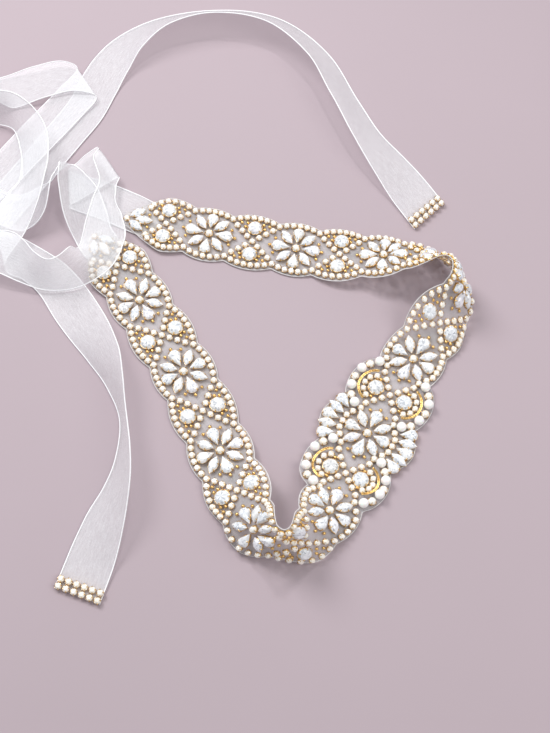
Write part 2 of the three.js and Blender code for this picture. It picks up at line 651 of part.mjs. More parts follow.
// The origin is under the middle of the whole outline, on the surface
const outline = new THREE.Box3().setFromObject(sash, true);
const middle = outline.getCenter(new THREE.Vector3());
sash.position.set(-middle.x, -middle.y, 0);
sash.updateMatrixWorld(true);

export default sash;
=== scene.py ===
"""Bridal sash laid out on a table: cut stones in gold cups on a net band, with sheer ribbon tails.

The tables below repeat the part's own routes, in millimetres.
Every piece is set in metres in the part's frame.
"""

import math

import bpy
import numpy as np
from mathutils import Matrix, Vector


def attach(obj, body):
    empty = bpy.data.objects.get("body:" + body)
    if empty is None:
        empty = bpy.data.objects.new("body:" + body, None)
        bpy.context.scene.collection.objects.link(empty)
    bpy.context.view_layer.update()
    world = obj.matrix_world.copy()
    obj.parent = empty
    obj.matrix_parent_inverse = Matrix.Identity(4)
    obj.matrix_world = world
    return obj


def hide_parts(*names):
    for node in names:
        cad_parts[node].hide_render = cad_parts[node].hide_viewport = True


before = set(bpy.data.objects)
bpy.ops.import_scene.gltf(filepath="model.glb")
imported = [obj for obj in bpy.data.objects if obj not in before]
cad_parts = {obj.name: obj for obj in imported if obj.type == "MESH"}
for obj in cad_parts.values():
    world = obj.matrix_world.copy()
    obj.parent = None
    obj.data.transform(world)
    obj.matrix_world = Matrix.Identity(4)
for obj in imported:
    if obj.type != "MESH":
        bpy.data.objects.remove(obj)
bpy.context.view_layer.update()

MM = 0.001
SHIFT = np.array([39.5754, -59.8187, 0.0])  # from the route tables to the part's frame

# Camera of the photograph, solved from the band's own repeats
CAMERA_PLACE = (0.0396, -0.3201, 0.5847)
CAMERA_TILT = 24.0
CAMERA_LENS = 56.26

# The band's repeat and border
REPEAT = 52.0
FLOWERS = 11
KNOTS = FLOWERS + 1
CENTRE_FLOWER = 6
CENTRE_ROW = 11
FLOWER_LOBE = 15.2
FLOWER_HALF = 12.0
KNOT_LOBE = 15.8
KNOT_HALF = 14.0
VALLEY = 12.6
BORDER_MARGIN = 2.5
BORDER_FOOT = 2.0
TIP_REACH = 26.0
TIP_TAPER = (28.0, 1.3)
CENTRE_KNOT = (24.6, 17.0)
CENTRE_FAN = (27.6, 15.0)

# Heights above the band's underside
CLOTH_HEIGHT = 0.6
CUP_FOOT = 0.75

# Sizes of the stones and beads: radii, and lengths with widths
SMALL_STONE = 1.84
BORDER_COUNT = 13
HUB_STONE = 2.3
ROUND_STONE = 4.4
ROUND_OFFSET = 8.8
PEAR = (10.8, 7.2)
SHORT_PEAR = (9.7, 6.9)
NAVETTE = (10.6, 5.6)
PETAL_TIP = 3.6
PETALS = 8
CROSS_ANGLE = math.radians(40.6)
CROSS_STONES = 7
CROSS_PITCH = 4.7
PEARL = 2.75
BORDER_CRYSTAL = 2.3
PEARL_ARC = (15.5, 13.2)
PEARL_COUNT = 7
PEARL_SPREAD = 64.0
GOLD_ARC = 9.7
GOLD_SPREAD = 72.0
FAN_RADIUS = 22.6
FAN_STONES = 5
FAN_STEP = 13.5
SEED = 1.05

# Sizes of the ribbon
RIBBON_WIDTH = 25.0
SELVEDGE = 0.36
TRIM_STONES = 6
TRIM_ROWS = 2
TRIM_PITCH = 4.4
TRIM_ROW_STEP = 4.0

# Band rows: x, y, tilt of the inner edge in degrees, lift, reach of the edge that rests
EDGE = KNOT_LOBE + BORDER_MARGIN
BAND_ROWS = [
    (-88.5, 94.6, 0, 1.5, EDGE),
    (-61.0, 90.2, 0, 1.4, EDGE),
    (-36.4, 84.2, 0, 0, EDGE),
    (14.4, 74.2, 0, 0, EDGE),
    (38.4, 69.6, 6, 0, EDGE),
    (62.9, 66.2, 20, 0, EDGE),
    (86.0, 62.0, 46, 0, EDGE),
    (99.6, 53.8, 74, 0, EDGE),
    (103.4, 38.8, 60, 0, EDGE),
    (91.0, 22.0, 24, 0, EDGE),
    (76.4, 2.6, 0, 0, EDGE),
    (50.1, -40.4, 0, 0, EDGE),
    (38.2, -62.3, 0, 0, 27.0),
    (29.0, -83.2, 18, 0, EDGE),
    (16.0, -102.0, 54, 0, EDGE),
    (4.6, -106.2, 80, 0, EDGE),
    (-9.4, -97.4, 46, 0, EDGE),
    (-18.4, -77.0, 20, 0, EDGE),
    (-27.4, -55.6, 6, 0, EDGE),
    (-37.6, -31.6, 0, 0, EDGE),
    (-48.5, -8.0, 0, 0, EDGE),
    (-75.2, 37.2, 0, 0, EDGE),
    (-89.8, 60.3, 0, 1.7, EDGE),
    (-108.0, 85.0, 0, 2.0, EDGE),
]

# Ribbon rows: x, y, height of the lower selvedge, plan direction across, tilt, width
FULL = RIBBON_WIDTH
UPPER_TAIL = [
    (-69.0, 92.0, 0.5, -96, 0, 24),
    (-87.0, 101.0, 0.5, -102, 0, FULL),
    (-104.0, 109.0, 0.5, -100, 0, FULL),
    (-117.0, 113.5, 0.5, -92, 0, FULL),
    (-123.5, 116.0, 1.7, -86, 0, FULL),
    (-117.5, 120.5, 2.9, -79, 0, FULL),
    (-109.0, 128.0, 2.9, -67, 0, FULL),
    (-100.0, 133.0, 4.2, -58, 0, FULL),
    (-101.5, 125.0, 5.6, -56, -8, FULL),
    (-98.5, 109.0, 5.4, -44, -44, 16),
    (-98.0, 96.5, 6.0, -12, -36, 20),
    (-100.0, 73.5, 8.2, 8, -6, FULL),
    (-106.5, 60.0, 7.8, -24, -34, FULL),
    (-116.0, 53.0, 3.8, -36, -58, FULL),
    (-125.0, 50.5, 2.4, -64, -72, FULL),
    (-134.5, 53.0, 3.0, -92, -64, FULL),
    (-143.5, 59.0, 5.2, -102, -46, FULL),
    (-153.5, 66.0, 7.6, -102, -20, FULL),
    (-165.5, 71.5, 8.8, -92, 0, FULL),
    (-178.0, 78.0, 4.7, -74, 0, FULL),
    (-171.5, 88.0, 0.5, -48, 0, FULL),
    (-152.0, 119.0, 0.5, -43, 0, FULL),
    (-128.5, 156.0, 0.5, -44, 0, FULL),
    (-117.0, 175.0, 0.5, -37, 0, FULL),
    (-110.5, 192.0, 0.5, -28, 0, FULL),
    (-103.0, 208.0, 0.5, -34, 6, FULL),
    (-92.0, 222.5, 0.5, -46, 22, FULL),
    (-70.0, 237.0, 0.5, -66, 38, FULL),
    (-38.0, 244.0, 0.5, -88, 46, FULL),
    (0.0, 236.5, 0.5, -112, 44, FULL),
    (27.0, 210.0, 0.5, -138, 42, FULL),
    (43.0, 177.5, 0.5, -156, 40, FULL),
    (55.0, 152.5, 0.5, -152, 34, FULL),
    (69.0, 131.5, 0.5, -146, 18, FULL),
    (82.0, 112.0, 0.5, -140, 2, FULL),
    (91.5, 97.2, 0.5, -137, 0, FULL),
]
LEFT_TAIL = [
    (-101.0, 75.5, 0.6, 40, 0, 22),
    (-106.5, 84.0, 0.9, 27, 0, 22),
    (-112.0, 98.0, 3.2, 13, -14, FULL),
    (-116.0, 112.0, 4.6, 10, -32, FULL),
    (-120.5, 123.5, 4.4, 20, -54, 21),
    (-124.5, 129.0, 3.4, 62, -58, 14),
    (-128.5, 125.5, 3.0, 104, -62, 15),
    (-131.5, 117.5, 3.0, 118, -62, 20),
    (-138.0, 104.5, 3.0, 110, -22, FULL),
    (-145.5, 98.5, 3.6, 106, -6, FULL),
    (-153.0, 97.5, 4.0, 102, 0, FULL),
    (-166.0, 103.5, 4.4, 98, 0, FULL),
    (-176.0, 110.5, 3.25, 102, 0, FULL),
    (-171.0, 117.0, 2.1, 122, 0, FULL),
    (-158.0, 135.0, 2.1, 132, 0, FULL),
    (-140.0, 160.0, 2.1, 131, 0, FULL),
    (-127.0, 178.5, 2.1, 130, 0, FULL),
    (-117.5, 193.0, 3.3, 121, 0, FULL),
    (-129.0, 197.0, 4.5, 114, 0, FULL),
    (-146.5, 193.0, 3.6, 112, 0, FULL),
    (-165.0, 187.0, 1.2, 113, 0, FULL),
    (-180.0, 183.0, 0.7, 128, -34, FULL),
    (-187.0, 175.0, 0.7, 178, -66, FULL),
    (-180.5, 166.8, 0.8, 242, -72, FULL),
    (-168.0, 166.4, 1.2, 262, -70, FULL),
    (-157.5, 162.0, 3.2, 236, -64, FULL),
    (-149.0, 152.5, 3.6, 204, -49, FULL),
    (-144.8, 143.0, 3.8, 186, -40, FULL),
    (-142.8, 131.0, 4.2, 180, -40, FULL),
    (-143.0, 118.0, 5.4, 172, -40, FULL),
    (-148.0, 103.0, 6.4, 152, -24, FULL),
    (-156.0, 87.5, 6.4, 140, -4, FULL),
    (-161.5, 76.5, 4.2, 116, 0, FULL),
    (-153.5, 71.0, 2.0, 84, 0, FULL),
    (-140.0, 64.0, 0.8, 60, 0, 22),
    (-128.0, 54.5, 0.5, 48, 0, 23),
    (-112.0, 32.0, 0.5, 24, 8, FULL),
    (-95.0, 3.5, 0.5, 9, 42, FULL),
    (-87.5, -13.5, 0.5, 3, 62, 22),
    (-82.2, -32.0, 0.5, 0, 74, 18),
    (-81.0, -55.5, 0.5, -4, 64, 23),
    (-83.0, -71.5, 0.5, -7, 50, FULL),
    (-88.5, -88.8, 0.5, -11, 26, FULL),
    (-96.5, -114.0, 0.5, -18, 2, FULL),
    (-101.4, -129.0, 0.5, -20.5, 0, FULL),
]
UPPER_NODES = ["under_tip", "fold", "over_tip", "turn", "floor_run", "arc", "end_run"]
LEFT_NODES = ["under_tip", "pinch", "diagonal", "return", "loop", "slope", "end_run"]
BACKING_NODES = ["top_run", "right_bend", "centre_run", "lower_bend", "left_run"]

chance = np.random.default_rng(5)


# Routes of the strips

def eased(values):
    """A smooth run through one column of a table, flat where neighbouring rows are equal."""
    column = np.array(values, float)
    steps = np.diff(column)
    slopes = np.concatenate([steps[:1], np.zeros(len(column) - 2), steps[-1:]])
    product = steps[:-1] * steps[1:]
    total = np.where(product > 0, steps[:-1] + steps[1:], 1.0)
    slopes[1:-1] = np.where(product > 0, 2 * product / total, 0.0)

    def at(t):
        i = np.clip(np.floor(t).astype(int), 0, len(column) - 2)
        f = t - i
        rise = (3 - 2 * f) * f * f * steps[i]
        bend = f * (1 - f) * ((1 - f) * slopes[i] - f * slopes[i + 1])
        return column[i] + rise + bend

    return at


def unit(vectors):
    return vectors / np.linalg.norm(vectors, axis=-1, keepdims=True)


class Route:
    """The centre line of a strip, measured along its own length, with its directions."""

    PER_ROW = 24
    NUDGE = 0.02

    def __init__(self, rows, height, across):
        plan = np.array([row[:2] for row in rows], float)
        first = 2 * plan[0] - plan[1]
        final = 2 * plan[-1] - plan[-2]
        self.plan = np.vstack([first, plan, final])
        self.last = len(rows) - 1
        self.height = height
        self.across = across
        self.stations = np.arange(self.last * self.PER_ROW + 1) / self.PER_ROW
        line = self.centre(self.stations)
        steps = np.linalg.norm(np.diff(line, axis=0), axis=1)
        self.lengths = np.concatenate([[0.0], np.cumsum(steps)])
        self.length = self.lengths[-1]

    def centre(self, t):
        t = np.clip(np.asarray(t, float), 0, self.last)
        i = np.minimum(np.floor(t).astype(int), self.last - 1)
        f = (t - i)[:, None]
        p0, p1, p2, p3 = (self.plan[i + k] for k in range(4))
        spans = ((p0, p1), (p1, p2), (p2, p3))
        d0, d1, d2 = (np.linalg.norm(b - a, axis=1)[:, None] ** 0.5 for a, b in spans)
        m1 = ((p1 - p0) / d0 - (p2 - p0) / (d0 + d1) + (p2 - p1) / d1) * d1
        m2 = ((p2 - p1) / d1 - (p3 - p1) / (d1 + d2) + (p3 - p2) / d2) * d1
        flat = p1 + f * (m1 + f * (3 * (p2 - p1) - 2 * m1 - m2 + f * (2 * (p1 - p2) + m1 + m2)))
        return np.column_stack([flat, self.height(t)])

    def row_at(self, s):
        return np.interp(s, self.lengths, self.stations)

    def frames(self, s):
        """Points and the directions along, across and out of the strip at each length s."""
        t = self.row_at(np.atleast_1d(np.asarray(s, float)))
        along = unit(self.centre(t + self.NUDGE) - self.centre(t - self.NUDGE))
        across = self.across(t, along)
        return self.centre(t), along, across, unit(np.cross(across, along))

    def place(self, s, v, h):
        point, _, across, normal = self.frames(s)
        return point + across * np.reshape(v, (-1, 1)) + normal * np.reshape(h, (-1, 1))


def band_route():
    _, _, tilts, lifts, reaches = zip(*BAND_ROWS)
    tilt = eased(np.radians(tilts))
    lift = eased(lifts)
    reach = eased(reaches)

    def across(t, along):
        level = unit(np.column_stack([along[:, 1], -along[:, 0], np.zeros(len(along))]))
        angle = tilt(t)[:, None]
        return level * np.cos(angle) + np.array([0, 0, 1]) * np.sin(angle)

    return Route(BAND_ROWS, lambda t: reach(t) * np.sin(tilt(t)) + lift(t), across)


def ribbon_route(rows):
    _, _, lows, turns, tilts, widths = zip(*rows)
    turn = eased(np.radians(turns))
    tilt = eased(np.radians(tilts))
    low = eased(lows)
    width = eased(widths)

    def across(t, along):
        level = np.cos(tilt(t))
        return np.column_stack([np.cos(turn(t)) * level, np.sin(turn(t)) * level, np.sin(tilt(t))])

    route = Route(rows, lambda t: low(t) + width(t) / 2 * np.abs(np.sin(tilt(t))), across)
    route.width_at = lambda s: width(route.row_at(s))
    return route


band = band_route()
centre_at = band.lengths[CENTRE_ROW * Route.PER_ROW]


def repeat_at(number):
    return centre_at + (number - CENTRE_FLOWER) * REPEAT


def knot_at(number):
    return repeat_at(number - 0.5)


band_start = knot_at(1) - TIP_REACH
band_end = knot_at(KNOTS) + TIP_REACH


def past_last_knot(s):
    return np.maximum(np.maximum(knot_at(1) - s, s - knot_at(KNOTS)), 0)


def border_at(s):
    """Distance of the stone border from the centre line."""
    lobes = [(repeat_at(i), FLOWER_LOBE, FLOWER_HALF) for i in range(1, FLOWERS + 1)]
    lobes += [(knot_at(i), KNOT_LOBE, KNOT_HALF) for i in range(1, KNOTS + 1)]
    heights = [crest - (crest - VALLEY) * ((s - at) / half) ** 2 for at, crest, half in lobes]
    past = past_last_knot(s)
    length, power = TIP_TAPER
    tip = EDGE * (1 - np.minimum(past / length, 1) ** power) - BORDER_MARGIN
    return np.where(past > 0, np.maximum(tip, BORDER_FOOT), np.max(heights, axis=0))


def backing_reach(s):
    """Half width of the net, wider under the pearled lobes and the fans of the centre."""
    def bulge(at, reach, length):
        share = np.abs(s - at) / length
        return np.where(share < 1, VALLEY + (reach - VALLEY) * np.sqrt(np.maximum(1 - share**2, 0)), 0)

    lobes = [bulge(knot_at(CENTRE_FLOWER + k), *CENTRE_KNOT) for k in (0, 1)]
    return np.max([border_at(s) + BORDER_MARGIN, *lobes, bulge(centre_at, *CENTRE_FAN)], axis=0)


# Shader node groups

def socket(group, name, kind, direction="INPUT", value=None):
    made = group.interface.new_socket(name=name, in_out=direction, socket_type=kind)
    if value is not None:
        made.default_value = value


def new_group(name, inputs, outputs):
    """An empty shader group with inputs {name: value} and outputs {name: kind}."""
    group = bpy.data.node_groups.new(name, "ShaderNodeTree")
    for label, value in inputs.items():
        kind = "NodeSocketColor" if isinstance(value, tuple) else "NodeSocketFloat"
        socket(group, label, kind, value=value)
    for label, kind in outputs.items():
        socket(group, label, kind, "OUTPUT")
    return group, group.nodes.new("NodeGroupInput"), group.nodes.new("NodeGroupOutput")


class Graph:
    """Short ways to add and join nodes of one tree."""

    def __init__(self, tree):
        self.tree = tree

    def node(self, kind, links=None, **settings):
        made = self.tree.nodes.new("ShaderNode" + kind)
        for key, value in settings.items():
            setattr(made, key, value)
        for key, value in (links or {}).items():
            self.feed(value, made.inputs[key])
        return made

    def feed(self, value, target):
        if isinstance(value, bpy.types.NodeSocket):
            self.tree.links.new(value, target)
        else:
            target.default_value = value

    def math(self, operation, first, second=0.0, third=0.0):
        made = self.node("Math", operation=operation)
        for value, target in zip((first, second, third), made.inputs):
            self.feed(value, target)
        return made.outputs[0]

    def blend(self, share, first, second, mode="MIX"):
        FACTOR, COLOUR_A, COLOUR_B, COLOUR_OUT = 0, 6, 7, 2
        made = self.node("Mix", data_type="RGBA", blend_type=mode)
        self.feed(share, made.inputs[FACTOR])
        self.feed(first, made.inputs[COLOUR_A])
        self.feed(second, made.inputs[COLOUR_B])
        return made.outputs[COLOUR_OUT]


def thread_group():
    """Woven threads along and across a strip, from its own coordinates in millimetres."""
    MEAN_HEIGHT = 0.75
    DEPTH = 0.35
    STREAK = (1.2, 0.2, 1.0)
    group, start, end = new_group(
        "thread weave",
        {"Threads per mm": 3.0, "Cover": 0.5, "Uneven": 0.2},
        {"Cover": "NodeSocketFloat", "Height": "NodeSocketFloat"},
    )
    g = Graph(group)
    strip = g.node("Attribute", attribute_name="strip")
    parts = g.node("SeparateXYZ", {"Vector": strip.outputs["Vector"]})
    pitch = g.math("MULTIPLY", start.outputs["Threads per mm"], 2 * math.pi)
    waves = []
    for axis in ("X", "Y"):
        wave = g.math("SINE", g.math("MULTIPLY", parts.outputs[axis], pitch))
        waves.append(g.math("MULTIPLY_ADD", wave, 0.5, 0.5))
    height = g.math("MAXIMUM", *waves)
    grain = {"Vector": strip.outputs["Vector"], "Scale": 1.1, "Detail": 4.0, "Roughness": 0.65}
    slub = g.node("TexNoise", grain)
    streak = g.node("Mapping", {"Vector": strip.outputs["Vector"], "Scale": STREAK})
    long_slub = g.node("TexNoise", {"Vector": streak.outputs[0], "Scale": 1.0, "Detail": 3.0})
    mottle = g.math("ADD", slub.outputs["Fac"], long_slub.outputs["Fac"])
    swing = g.math("MULTIPLY", g.math("SUBTRACT", mottle, 1.0), start.outputs["Uneven"])
    raised = g.math("SUBTRACT", height, MEAN_HEIGHT)
    open_part = g.math("MULTIPLY_ADD", raised, DEPTH, start.outputs["Cover"])
    g.feed(g.math("ADD", open_part, swing), end.inputs["Cover"])
    g.feed(height, end.inputs["Height"])
    return group


def mottle_group():
    """Soft unevenness of a colour over the surface, in the part's own space."""
    group, start, end = new_group(
        "soft mottle",
        {"Light": (1.0, 1.0, 1.0, 1.0), "Deep": (0.8, 0.8, 0.8, 1.0), "Scale": 400.0},
        {"Color": "NodeSocketColor", "Value": "NodeSocketFloat"},
    )
    g = Graph(group)
    place = g.node("TexCoord")
    grain = {"Vector": place.outputs["Object"], "Scale": start.outputs["Scale"], "Detail": 4.0}
    noise = g.node("TexNoise", grain)
    tone = g.blend(noise.outputs["Fac"], start.outputs["Deep"], start.outputs["Light"])
    g.feed(tone, end.inputs["Color"])
    g.feed(noise.outputs["Fac"], end.inputs["Value"])
    return group


def facet_light_paint_group():
    """Painted reflections on foiled stones: each facet is painted somewhere between grey (painted shade)
    and bright (painted highlight), with a faint tint that differs at random from stone to stone.
    """
    STOPS = [
        (0.0, (1.0, 0.93, 0.82, 1)),
        (0.4, (1, 1, 1, 1)),
        (0.75, (0.86, 0.93, 1.0, 1)),
        (1.0, (1.0, 0.88, 0.95, 1)),
    ]
    group, start, end = new_group(
        "painted facet light",
        {"Bright": (1.0, 1.0, 1.0, 1.0), "Grey": (0.4, 0.42, 0.46, 1.0), "Tint": 0.1},
        {"Color": "NodeSocketColor"},
    )
    g = Graph(group)
    painted_facet_light = g.node("Attribute", attribute_name="painted_facet_light")
    tint = g.node("Attribute", attribute_name="tint")
    # Each face's share between grey and bright is its painted light: grey is painted shade, bright is
    # painted highlight.
    base = g.blend(painted_facet_light.outputs["Fac"], start.outputs["Grey"], start.outputs["Bright"])
    ramp = g.node("ValToRGB", {"Fac": tint.outputs["Fac"]})
    ramp.color_ramp.elements[0].color = STOPS[0][1]
    ramp.color_ramp.elements[1].color = STOPS[-1][1]
    for where, colour in STOPS[1:-1]:
        ramp.color_ramp.elements.new(where).color = colour
    tinted = g.blend(1.0, base, ramp.outputs["Color"], "MULTIPLY")
    g.feed(g.blend(start.outputs["Tint"], base, tinted), end.inputs["Color"])
    return group


THREADS = thread_group()
MOTTLE = mottle_group()
FACET_LIGHT_PAINT = facet_light_paint_group()


# Materials

def new_material(name, **values):
    """A material with a Principled shader whose even values are set on its own sockets."""
    made = bpy.data.materials.new(name)
    made.use_nodes = True
    shader = made.node_tree.nodes["Principled BSDF"]
    for label, value in values.items():
        shader.inputs[label.replace("_", " ")].default_value = value
    return made, Graph(made.node_tree), shader


def place_group(graph, group, **values):
    made = graph.tree.nodes.new("ShaderNodeGroup")
    made.node_tree = group
    for label, value in values.items():
        made.inputs[label.replace("_", " ")].default_value = value
    return made


def sheer_cloth(name, light, deep, threads, cover, uneven, bump):
    made, g, shader = new_material(name, Roughness=0.5, Sheen_Weight=0.35, Sheen_Roughness=0.4)
    weave = place_group(g, THREADS, Threads_per_mm=threads, Cover=cover, Uneven=uneven)
    tone = place_group(g, MOTTLE, Light=light, Deep=deep, Scale=90.0)
    lift = g.node("Bump", {"Height": weave.outputs["Height"], "Strength": bump, "Distance": 0.0001})
    g.feed(tone.outputs["Color"], shader.inputs["Base Color"])
    g.feed(weave.outputs["Cover"], shader.inputs["Alpha"])
    g.feed(lift.outputs["Normal"], shader.inputs["Normal"])
    return made


def thread_edge(name, light, deep):
    made, g, shader = new_material(name, Roughness=0.55, Sheen_Weight=0.3)
    weave = place_group(g, THREADS, Threads_per_mm=1.4, Cover=0.5, Uneven=0.2)
    tone = place_group(g, MOTTLE, Light=light, Deep=deep, Scale=300.0)
    lift = g.node("Bump", {"Height": weave.outputs["Height"], "Strength": 0.4, "Distance": 0.0002})
    g.feed(tone.outputs["Color"], shader.inputs["Base Color"])
    g.feed(lift.outputs["Normal"], shader.inputs["Normal"])
    return made


def cut_stone_finish(name, bright, grey):
    # bright and grey are the painted highlight and painted shade of the facets.
    made, g, shader = new_material(name, Roughness=0.06, IOR=1.7, Coat_Weight=0.5, Coat_Roughness=0.03)
    tone = place_group(g, FACET_LIGHT_PAINT, Bright=bright, Grey=grey, Tint=0.3)
    g.feed(tone.outputs["Color"], shader.inputs["Base Color"])
    return made


def pearl_finish():
    LIGHT = (0.98, 0.97, 0.95, 1)
    DEEP = (0.92, 0.90, 0.86, 1)
    made, g, shader = new_material(
        "ivory pearl",
        Roughness=0.22,
        IOR=1.55,
        Coat_Weight=0.6,
        Coat_Roughness=0.08,
        Subsurface_Weight=0.15,
        Subsurface_Scale=0.001,
    )
    tone = place_group(g, MOTTLE, Light=LIGHT, Deep=DEEP, Scale=500.0)
    g.feed(tone.outputs["Color"], shader.inputs["Base Color"])
    return made


def gold_finish():
    LIGHT = (0.93, 0.66, 0.30, 1)
    DEEP = (0.70, 0.44, 0.15, 1)
    LEAST_ROUGH = 0.14
    ROUGH_SWING = 0.25
    made, g, shader = new_material("polished gold", Metallic=1.0)
    tone = place_group(g, MOTTLE, Light=LIGHT, Deep=DEEP, Scale=700.0)
    rough = g.math("MULTIPLY_ADD", tone.outputs["Value"], ROUGH_SWING, LEAST_ROUGH)
    g.feed(tone.outputs["Color"], shader.inputs["Base Color"])
    g.feed(rough, shader.inputs["Roughness"])
    return made


# The bright and grey colours are painted highlight and painted shade; the cream and tan of the small
# stones are a painted reflection of their gold cups.
CRYSTAL = cut_stone_finish("foiled crystal", (0.93, 0.94, 0.96, 1), (0.34, 0.36, 0.40, 1))
SMALL_CRYSTAL = cut_stone_finish("small foiled crystal", (1.0, 0.965, 0.90, 1), (0.72, 0.65, 0.52, 1))
GOLD = gold_finish()
PEARL_LUSTRE = pearl_finish()
ORGANZA = sheer_cloth(
    "organza",
    light=(0.95, 0.95, 0.97, 1),
    deep=(0.88, 0.89, 0.92, 1),
    threads=3.2,
    cover=0.44,
    uneven=0.3,
    bump=0.25,
)
NET = sheer_cloth(
    "net backing",
    light=(0.76, 0.76, 0.77, 1),
    deep=(0.64, 0.64, 0.66, 1),
    threads=1.3,
    cover=0.42,
    uneven=0.2,
    bump=0.35,
)
SELVEDGE_THREAD = thread_edge("woven selvedge", (0.97, 0.97, 0.98, 1), (0.90, 0.90, 0.93, 1))
EDGE_THREAD = thread_edge("overcast edge", (0.80, 0.79, 0.79, 1), (0.66, 0.65, 0.66, 1))
FINISHES = {
    "crystal": CRYSTAL,
    "small crystal": SMALL_CRYSTAL,
    "gold": GOLD,
    "pearl": PEARL_LUSTRE,
}


# Meshes

class Body:
    """Points, faces and the finish of each face of one small body."""

    def __init__(self, painted_shade_weight=0.5):
        self.points = []
        self.faces = []
        self.finish = []
        self.smooth = []
        self.painted_shade_weight = painted_shade_weight  # a larger value gives more facets painted grey, as painted shade

    def ring(self, points):
        first = len(self.points)
        self.points.extend(points)
        return list(range(first, first + len(points)))

    def face(self, corners, finish, smooth=False):
        self.faces.append(tuple(corners))
        self.finish.append(finish)
        self.smooth.append(smooth)

    def strip(self, low, high, finish, smooth=False):
        for j in range(len(low)):
            k = (j + 1) % len(low)
            self.face((low[j], low[k], high[k], high[j]), finish, smooth)

    def fan(self, ring, height, finish):
        """Triangles from the middle of a flat ring, like the facets seen through the top of a stone."""
        middle = np.mean([self.points[i][:2] for i in ring], axis=0)
        apex = self.ring([(*middle, height)])[0]
        for j in range(len(ring)):
            self.face((ring[j], ring[(j + 1) % len(ring)], apex), finish)

    def facets(self, low, high, finish):
        """Triangles between two rings set half a step apart."""
        for j in range(len(low)):
            k = (j + 1) % len(low)
            self.face((low[j], low[k], high[j]), finish)
            self.face((low[k], high[k], high[j]), finish)


def round_outline(radius, count):
    angles = 2 * math.pi * (np.arange(count) + 0.5) / count
    return radius * np.column_stack([np.cos(angles), np.sin(angles)])


def two_sided(lengths, halves):
    """An outline from half widths along its length, closed at both ends."""
    upper = np.column_stack([lengths, halves])
    lower = np.column_stack([lengths, -halves])[1:-1]
    return np.vstack([lower, upper[::-1]])


def navette_outline(size):
    ROUNDING = 1.9
    length, width = size
    share = np.array([-1.0, -0.62, -0.22, 0.22, 0.62, 1.0])
    return two_sided(share * length / 2, (1 - np.abs(share) ** ROUNDING) * width / 2)


def pear_outline(size):
    length, width = size
    share = np.array([0.0, 0.2, 0.42, 0.64, 0.82, 0.94, 1.0])
    half = np.array([0.0, 0.36, 0.68, 0.96, 0.92, 0.58, 0.0])
    return two_sided((share - 0.5) * length, half * width / 2)


def scaled(outline, scale):
    middle = outline.mean(axis=0)
    return middle + (outline - middle) * scale


def at_height(outline, height):
    return np.column_stack([outline, np.full(len(outline), height)])


def half_step(outline):
    return (outline + np.roll(outline, -1, axis=0)) / 2


def set_stone(outline, girdle, top, prongs, table, wall=0.16, finish="crystal", claw=0.3, painted_shade_weight=0.7):
    """A cut stone in a gold cup: a faceted crown, a rim round it and prongs over its edge.

    girdle and top are heights, prongs are points of the outline, table is the share of the flat top,
    wall is the cup's thickness and claw half the width of a prong.
    """
    FOOT, SHOULDER, CUP_BASE = 0.8, 0.83, 0.9  # shares of the outline
    FOOT_LIFT = 0.1
    GIRDLE_BAND = 0.2
    SHOULDER_RISE = 0.62
    RIM_DROP = 0.15
    shoulder_height = girdle + SHOULDER_RISE * (top - girdle)
    body = Body(painted_shade_weight)
    foot = body.ring(at_height(scaled(outline, FOOT), CUP_FOOT + FOOT_LIFT))
    low = body.ring(at_height(outline, girdle - GIRDLE_BAND))
    edge = body.ring(at_height(outline, girdle))
    middle = body.ring(at_height(scaled(half_step(outline), SHOULDER), shoulder_height))
    crown = body.ring(at_height(scaled(half_step(half_step(outline)), table), top))
    body.face(foot[::-1], finish)
    body.strip(foot, low, finish)
    body.strip(low, edge, finish)
    body.facets(edge, middle, finish)
    body.facets(middle, crown, finish)
    body.fan(crown, top, finish)
    out = unit(outline - outline.mean(axis=0))
    rim = girdle - RIM_DROP
    cup = [
        body.ring(at_height(scaled(outline, CUP_BASE), CUP_FOOT)),
        body.ring(at_height(outline + out * wall, rim)),
        body.ring(at_height(outline, rim)),
        body.ring(at_height(scaled(outline, FOOT), CUP_FOOT)),
    ]
    for low_ring, high_ring in zip(cup, cup[1:] + cup[:1]):
        body.strip(low_ring, high_ring, "gold", True)
    for place in prongs:
        add_prong(body, outline, out, place, girdle, top, wall, claw)
    return body


def add_prong(body, outline, out, place, girdle, top, wall, claw):
    """A claw from the cup over the stone's edge at one point of the outline."""
    THICK = 0.34
    FOOT_OUT, FOOT_RISE = 0.16, 0.3
    SHOULDER_OUT = 0.2
    TIP_IN, TIP_RISE = 0.3, 0.25
    point = outline[place]
    away = out[place]
    side = np.array([-away[1], away[0]]) * claw
    hook = girdle + 0.5 * (top - girdle)
    sections = [(wall + FOOT_OUT, CUP_FOOT + FOOT_RISE), (wall + SHOULDER_OUT, girdle), (-TIP_IN, hook)]
    rings = []
    for reach, height in sections:
        near = point + away * (reach - THICK)
        far = point + away * reach
        rise = 0.0 if reach > 0 else TIP_RISE
        corners = [(*(far - side), height), (*(far + side), height)]
        corners += [(*(near + side), height + rise), (*(near - side), height + rise)]
        rings.append(body.ring(corners))
    body.face(rings[0][::-1], "gold", True)
    for low_ring, high_ring in zip(rings, rings[1:]):
        body.strip(low_ring, high_ring, "gold", True)
    body.face(rings[-1], "gold", True)


def ball(radius, finish, around=12, levels=8, squash=1.0, foot=CUP_FOOT):
    """A bead standing on the net."""
    body = Body()
    rings = []
    for i in range(1, levels):
        angle = math.pi * i / levels
        height = foot + radius * squash * (1 - math.cos(angle))
        rings.append(body.ring(at_height(round_outline(radius * math.sin(angle), around), height)))
    bottom = body.ring([(0, 0, foot)])[0]
    top = body.ring([(0, 0, foot + 2 * radius * squash)])[0]
    for j in range(around):
        k = (j + 1) % around
        body.face((bottom, rings[0][k], rings[0][j]), finish, True)
        body.face((top, rings[-1][j], rings[-1][k]), finish, True)
    for low, high in zip(rings, rings[1:]):
        body.strip(low, high, finish, True)
    return body


